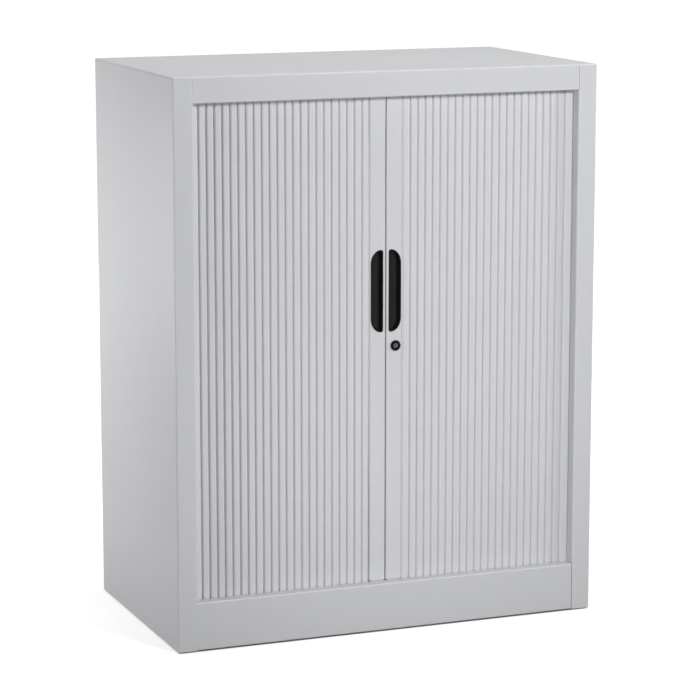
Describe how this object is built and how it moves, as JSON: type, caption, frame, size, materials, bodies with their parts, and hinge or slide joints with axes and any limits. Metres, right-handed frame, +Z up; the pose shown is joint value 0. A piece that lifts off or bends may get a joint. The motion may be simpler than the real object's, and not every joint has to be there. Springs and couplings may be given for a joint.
{
  "type": "tambour door cabinet",
  "caption": "Steel storage cabinet closed by ribbed sliding tambour doors with recessed grips, a lock, shelves inside and levelling feet.",
  "frame": {"origin": "on the floor, under the middle of the cabinet's outer box", "axes": "+X to the right of a person facing the doors, +Y to the back, +Z up"},
  "size_m": [0.8, 0.46, 1.01],
  "materials": {
    "painted_sheet": "light grey powder coat, satin",
    "hidden_panel": "light grey powder coat, satin",
    "curtain_ribs": "light grey extrusion, satin",
    "track": "light grey extrusion, satin",
    "lead_stile": "light grey coating, satin",
    "grip": "black moulding, satin",
    "shoe": "black moulding",
    "lock_housing": "black moulding, satin",
    "lock_plug": "plated, satin",
    "foot_pad": "black moulding",
    "plated_steel": "zinc plated"
  },
  "bodies": {
    "carcass": {"back_panel": "hidden_panel", "base_panel": "painted_sheet", "curtain_left": "curtain_ribs", "curtain_right": "curtain_ribs", "foot_bracket_front_left": "plated_steel", "foot_bracket_front_right": "plated_steel", "foot_bracket_rear_left": "plated_steel", "foot_bracket_rear_right": "plated_steel", "foot_nut_front_left": "plated_steel", "foot_nut_front_right": "plated_steel", "foot_nut_rear_left": "plated_steel", "foot_nut_rear_right": "plated_steel", "guide_track_bottom_left": "track", "guide_track_bottom_right": "track", "guide_track_top_left": "track", "guide_track_top_right": "track", "inner_top_panel": "painted_sheet", "liner_left": "painted_sheet", "liner_right": "painted_sheet", "plinth_panel": "painted_sheet", "shelf_clip_1": "plated_steel", "shelf_clip_2": "plated_steel", "shelf_clip_3": "plated_steel", "shelf_clip_4": "plated_steel", "shelf_clip_5": "plated_steel", "shelf_clip_6": "plated_steel", "shelf_clip_7": "plated_steel", "shelf_clip_8": "plated_steel", "shelf_lower": "painted_sheet", "shelf_upper": "painted_sheet", "shelf_upright_front_left": "painted_sheet", "shelf_upright_front_right": "painted_sheet", "shelf_upright_rear_left": "painted_sheet", "shelf_upright_rear_right": "painted_sheet", "side_panel_left": "painted_sheet", "side_panel_right": "painted_sheet", "top_panel": "painted_sheet"},
    "left_door": {"grip_cup_left": "grip", "guide_shoe_bottom_left": "shoe", "guide_shoe_top_left": "shoe", "lead_stile_left": "lead_stile", "strike_plate": "plated_steel"},
    "right_door": {"grip_cup_right": "grip", "guide_shoe_bottom_right": "shoe", "guide_shoe_top_right": "shoe", "lead_stile_right": "lead_stile", "lock_housing": "lock_housing", "lock_nut": "plated_steel"},
    "lock": {"lock_plug": "lock_plug", "lock_hook": "plated_steel", "hook_screw": "plated_steel"},
    "foot_front_left": {"foot_pad_front_left": "foot_pad", "foot_stem_front_left": "plated_steel"},
    "foot_front_right": {"foot_pad_front_right": "foot_pad", "foot_stem_front_right": "plated_steel"},
    "foot_rear_left": {"foot_pad_rear_left": "foot_pad", "foot_stem_rear_left": "plated_steel"},
    "foot_rear_right": {"foot_pad_rear_right": "foot_pad", "foot_stem_rear_right": "plated_steel"}
  },
  "joints": [
    {"name": "left_door_slide", "type": "slide", "parent": "carcass", "child": "left_door", "axis": [-1, 0, 0], "range_m": [0, 0.33], "deforming": ["curtain_left"]},
    {"name": "right_door_slide", "type": "slide", "parent": "carcass", "child": "right_door", "axis": [1, 0, 0], "range_m": [0, 0.33], "deforming": ["curtain_right"]},
    {"name": "lock_turn", "type": "hinge", "parent": "right_door", "child": "lock", "pos_m": [0.01845, -0.2072, 0.5187], "axis": [0, 1, 0], "range_deg": [0, 90]},
    {"name": "foot_front_left_travel", "type": "slide", "parent": "carcass", "child": "foot_front_left", "axis": [0, 0, -1], "range_m": [0, 0.012]},
    {"name": "foot_front_right_travel", "type": "slide", "parent": "carcass", "child": "foot_front_right", "axis": [0, 0, -1], "range_m": [0, 0.012]},
    {"name": "foot_rear_left_travel", "type": "slide", "parent": "carcass", "child": "foot_rear_left", "axis": [0, 0, -1], "range_m": [0, 0.012]},
    {"name": "foot_rear_right_travel", "type": "slide", "parent": "carcass", "child": "foot_rear_right", "axis": [0, 0, -1], "range_m": [0, 0.012]}
  ]
}
